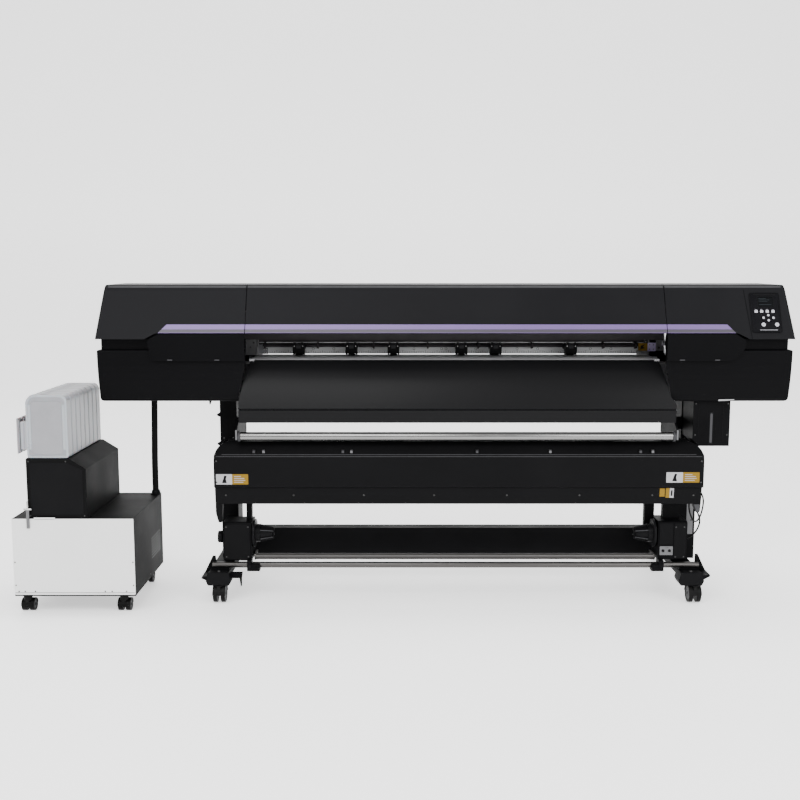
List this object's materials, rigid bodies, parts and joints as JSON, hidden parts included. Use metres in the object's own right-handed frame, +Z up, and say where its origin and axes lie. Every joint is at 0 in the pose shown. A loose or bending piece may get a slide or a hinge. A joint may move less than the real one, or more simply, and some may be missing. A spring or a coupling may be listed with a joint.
{
  "type": "printer cutter",
  "caption": "Wide roll-fed printer cutter on a wheeled stand, with a fold-up cover, dryer beam, take-up unit and a separate wheeled ink cart joined by a hose.",
  "frame": {"origin": "on the floor, at the middle of the whole object's outline in X and Y", "axes": "+X right along the print width, -Y out of the front, +Z up"},
  "size_m": [3.1379, 0.88, 1.3199],
  "materials": {
    "stand_black": "fine textured black powder coat",
    "caster_fork": "black moulded nylon",
    "caster_tyre": "black moulded twin wheels",
    "frame_steel": "grey painted sheet steel",
    "aluminium": "satin anodised",
    "carriage_plastic": "matte black",
    "tool_metal": "satin",
    "grit_steel": "ground, with rough grit sections",
    "pinch_rubber": "matte black",
    "cover_plastic": "fine textured black",
    "base_plastic": "fine textured black",
    "accent": "metallic purple",
    "panel_gloss": "gloss black",
    "screen": "dark display behind a clear window",
    "key_grey": "light grey keys",
    "apron_coat": "smooth satin black coat",
    "holder_black": "black powder coat",
    "tank_grey": "translucent grey",
    "bar_steel": "ground and polished",
    "dryer_black": "satin black",
    "chuck_black": "moulded black, slightly glossy ribs",
    "cable_black": "matte black jacket",
    "cart_black": "satin black coat",
    "cart_white": "white coat",
    "case_clear": "translucent grey plastic"
  },
  "bodies": {
    "machine": {"leg_left": "stand_black", "leg_right": "stand_black", "cross_beam": "stand_black", "chassis": "frame_steel", "guide_beam": "aluminium", "platen": "aluminium", "accent_ends": "accent", "left_housing_top": "cover_plastic", "left_housing_base": "base_plastic", "right_housing_top": "cover_plastic", "right_housing_base": "base_plastic", "rear_cover": "cover_plastic", "control_panel": "panel_gloss", "lcd_screen": "screen", "front_apron": "apron_coat", "rear_apron": "apron_coat", "waste_holder": "holder_black", "guide_bar": "bar_steel", "dryer_housing": "dryer_black", "slide_rail": "bar_steel", "takeup_blocks": "stand_black", "takeup_cables": "cable_black", "cart_cabinet": "cart_black", "cart_front_panel": "cart_white", "ink_tower": "cart_black", "ink_hose": "cable_black"},
    "fork_fl": {"fork_fl": "caster_fork"},
    "fork_fr": {"fork_fr": "caster_fork"},
    "fork_rl": {"fork_rl": "caster_fork"},
    "fork_rr": {"fork_rr": "caster_fork"},
    "wheel_fl": {"wheel_fl": "caster_tyre"},
    "wheel_fr": {"wheel_fr": "caster_tyre"},
    "wheel_rl": {"wheel_rl": "caster_tyre"},
    "wheel_rr": {"wheel_rr": "caster_tyre"},
    "carriage": {"carriage": "carriage_plastic"},
    "cutter_tool": {"cutter_tool": "tool_metal"},
    "grit_shaft": {"grit_shaft": "grit_steel"},
    "pinch_arms": {"pinch_arms": "carriage_plastic"},
    "pinch_wheels": {"pinch_wheels": "pinch_rubber"},
    "clamp_lever": {"clamp_lever": "carriage_plastic"},
    "front_cover": {"front_cover": "cover_plastic", "accent_center": "accent"},
    "left_door": {"left_door": "base_plastic"},
    "right_door": {"right_door": "base_plastic"},
    "key_1": {"key_1": "key_grey"},
    "key_2": {"key_2": "key_grey"},
    "key_3": {"key_3": "key_grey"},
    "key_4": {"key_4": "key_grey"},
    "nav_pad": {"nav_pad": "key_grey"},
    "key_enter": {"key_enter": "key_grey"},
    "key_end": {"key_end": "key_grey"},
    "capping_station": {"capping_station": "carriage_plastic"},
    "waste_tank": {"waste_tank": "tank_grey"},
    "core_holders": {"core_holders": "chuck_black"},
    "tension_bar": {"tension_bar": "bar_steel"},
    "ink_cases": {"ink_cases": "case_clear"},
    "cart_caster_fl": {"cart_caster_fl": "caster_tyre"},
    "cart_caster_fr": {"cart_caster_fr": "caster_tyre"},
    "cart_caster_rl": {"cart_caster_rl": "caster_tyre"},
    "cart_caster_rr": {"cart_caster_rr": "caster_tyre"}
  },
  "joints": [
    {"name": "swivel_fl", "type": "hinge", "parent": "machine", "child": "fork_fl", "pos_m": [-0.772, -0.29, 0.07], "axis": [0, 0, 1], "continuous": true},
    {"name": "roll_fl", "type": "hinge", "parent": "fork_fl", "child": "wheel_fl", "pos_m": [-0.772, -0.27, 0.0375], "axis": [1, 0, 0], "continuous": true},
    {"name": "swivel_fr", "type": "hinge", "parent": "machine", "child": "fork_fr", "pos_m": [1.205, -0.29, 0.07], "axis": [0, 0, 1], "continuous": true},
    {"name": "roll_fr", "type": "hinge", "parent": "fork_fr", "child": "wheel_fr", "pos_m": [1.205, -0.27, 0.0375], "axis": [1, 0, 0], "continuous": true},
    {"name": "swivel_rl", "type": "hinge", "parent": "machine", "child": "fork_rl", "pos_m": [-0.772, 0.39, 0.07], "axis": [0, 0, 1], "continuous": true},
    {"name": "roll_rl", "type": "hinge", "parent": "fork_rl", "child": "wheel_rl", "pos_m": [-0.772, 0.37, 0.0375], "axis": [1, 0, 0], "continuous": true},
    {"name": "swivel_rr", "type": "hinge", "parent": "machine", "child": "fork_rr", "pos_m": [1.205, 0.39, 0.07], "axis": [0, 0, 1], "continuous": true},
    {"name": "roll_rr", "type": "hinge", "parent": "fork_rr", "child": "wheel_rr", "pos_m": [1.205, 0.37, 0.0375], "axis": [1, 0, 0], "continuous": true},
    {"name": "cart_swivel_fl", "type": "hinge", "parent": "machine", "child": "cart_caster_fl", "pos_m": [-1.531, -0.39, 0.07], "axis": [0, 0, 1], "continuous": true},
    {"name": "cart_swivel_fr", "type": "hinge", "parent": "machine", "child": "cart_caster_fr", "pos_m": [-1.14, -0.39, 0.07], "axis": [0, 0, 1], "continuous": true},
    {"name": "cart_swivel_rl", "type": "hinge", "parent": "machine", "child": "cart_caster_rl", "pos_m": [-1.531, 0.02, 0.07], "axis": [0, 0, 1], "continuous": true},
    {"name": "cart_swivel_rr", "type": "hinge", "parent": "machine", "child": "cart_caster_rr", "pos_m": [-1.14, 0.02, 0.07], "axis": [0, 0, 1], "continuous": true},
    {"name": "carriage_travel", "type": "slide", "parent": "machine", "child": "carriage", "axis": [1, 0, 0], "range_m": [-2.1, 0]},
    {"name": "cutter_drop", "type": "slide", "parent": "carriage", "child": "cutter_tool", "axis": [0, 0, 1], "range_m": [-0.005, 0], "stiffness_N_per_m": 300},
    {"name": "grit_spin", "type": "hinge", "parent": "machine", "child": "grit_shaft", "pos_m": [0.208, -0.02, 1], "axis": [1, 0, 0], "continuous": true},
    {"name": "pinch_lift", "type": "hinge", "parent": "machine", "child": "pinch_arms", "pos_m": [0.208, 0.025, 1.05], "axis": [-1, 0, 0], "range_deg": [0, 6]},
    {"name": "pinch_roll", "type": "hinge", "parent": "pinch_arms", "child": "pinch_wheels", "pos_m": [0.208, -0.02, 1.025], "axis": [1, 0, 0], "continuous": true},
    {"name": "lever_turn", "type": "hinge", "parent": "machine", "child": "clamp_lever", "pos_m": [-0.686, 0.268, 1], "axis": [1, 0, 0], "range_deg": [0, 60]},
    {"name": "front_cover_hinge", "type": "hinge", "parent": "machine", "child": "front_cover", "pos_m": [0.206, 0.019, 1.32], "axis": [-1, 0, 0], "range_deg": [0, 60]},
    {"name": "left_door_hinge", "type": "hinge", "parent": "machine", "child": "left_door", "pos_m": [-0.839, -0.3, 1.121], "axis": [-1, 0, 0], "range_deg": [0, 95]},
    {"name": "right_door_hinge", "type": "hinge", "parent": "machine", "child": "right_door", "pos_m": [1.211, -0.3, 1.121], "axis": [-1, 0, 0], "range_deg": [0, 95]},
    {"name": "key_1_press", "type": "slide", "parent": "machine", "child": "key_1", "axis": [0, 0.9183, -0.3958], "range_m": [0, 0.001], "stiffness_N_per_m": 400},
    {"name": "key_2_press", "type": "slide", "parent": "machine", "child": "key_2", "axis": [0, 0.9183, -0.3958], "range_m": [0, 0.001], "stiffness_N_per_m": 400},
    {"name": "key_3_press", "type": "slide", "parent": "machine", "child": "key_3", "axis": [0, 0.9183, -0.3958], "range_m": [0, 0.001], "stiffness_N_per_m": 400},
    {"name": "key_4_press", "type": "slide", "parent": "machine", "child": "key_4", "axis": [0, 0.9183, -0.3958], "range_m": [0, 0.001], "stiffness_N_per_m": 400},
    {"name": "nav_pad_press", "type": "slide", "parent": "machine", "child": "nav_pad", "axis": [0, 0.9183, -0.3958], "range_m": [0, 0.001], "stiffness_N_per_m": 400},
    {"name": "key_enter_press", "type": "slide", "parent": "machine", "child": "key_enter", "axis": [0, 0.9183, -0.3958], "range_m": [0, 0.001], "stiffness_N_per_m": 400},
    {"name": "key_end_press", "type": "slide", "parent": "machine", "child": "key_end", "axis": [0, 0.9183, -0.3958], "range_m": [0, 0.001], "stiffness_N_per_m": 400},
    {"name": "cap_lift", "type": "slide", "parent": "machine", "child": "capping_station", "axis": [0, 0, 1], "range_m": [0, 0.006]},
    {"name": "waste_tank_slide", "type": "slide", "parent": "machine", "child": "waste_tank", "axis": [1, 0, 0], "range_m": [0, 0.17]},
    {"name": "core_spin", "type": "hinge", "parent": "machine", "child": "core_holders", "pos_m": [0.207, -0.2, 0.277], "axis": [1, 0, 0], "continuous": true},
    {"name": "tension_swing", "type": "hinge", "parent": "machine", "child": "tension_bar", "pos_m": [0.207, -0.15, 0.178], "axis": [-1, 0, 0], "range_deg": [0, 18]},
    {"name": "ink_case_lift", "type": "slide", "parent": "machine", "child": "ink_cases", "axis": [0, 0, 1], "range_m": [0, 0.27]}
  ],
  "couplings": [
    {"joint": "pinch_lift", "follows": "lever_turn", "ratio": 0.1}
  ]
}
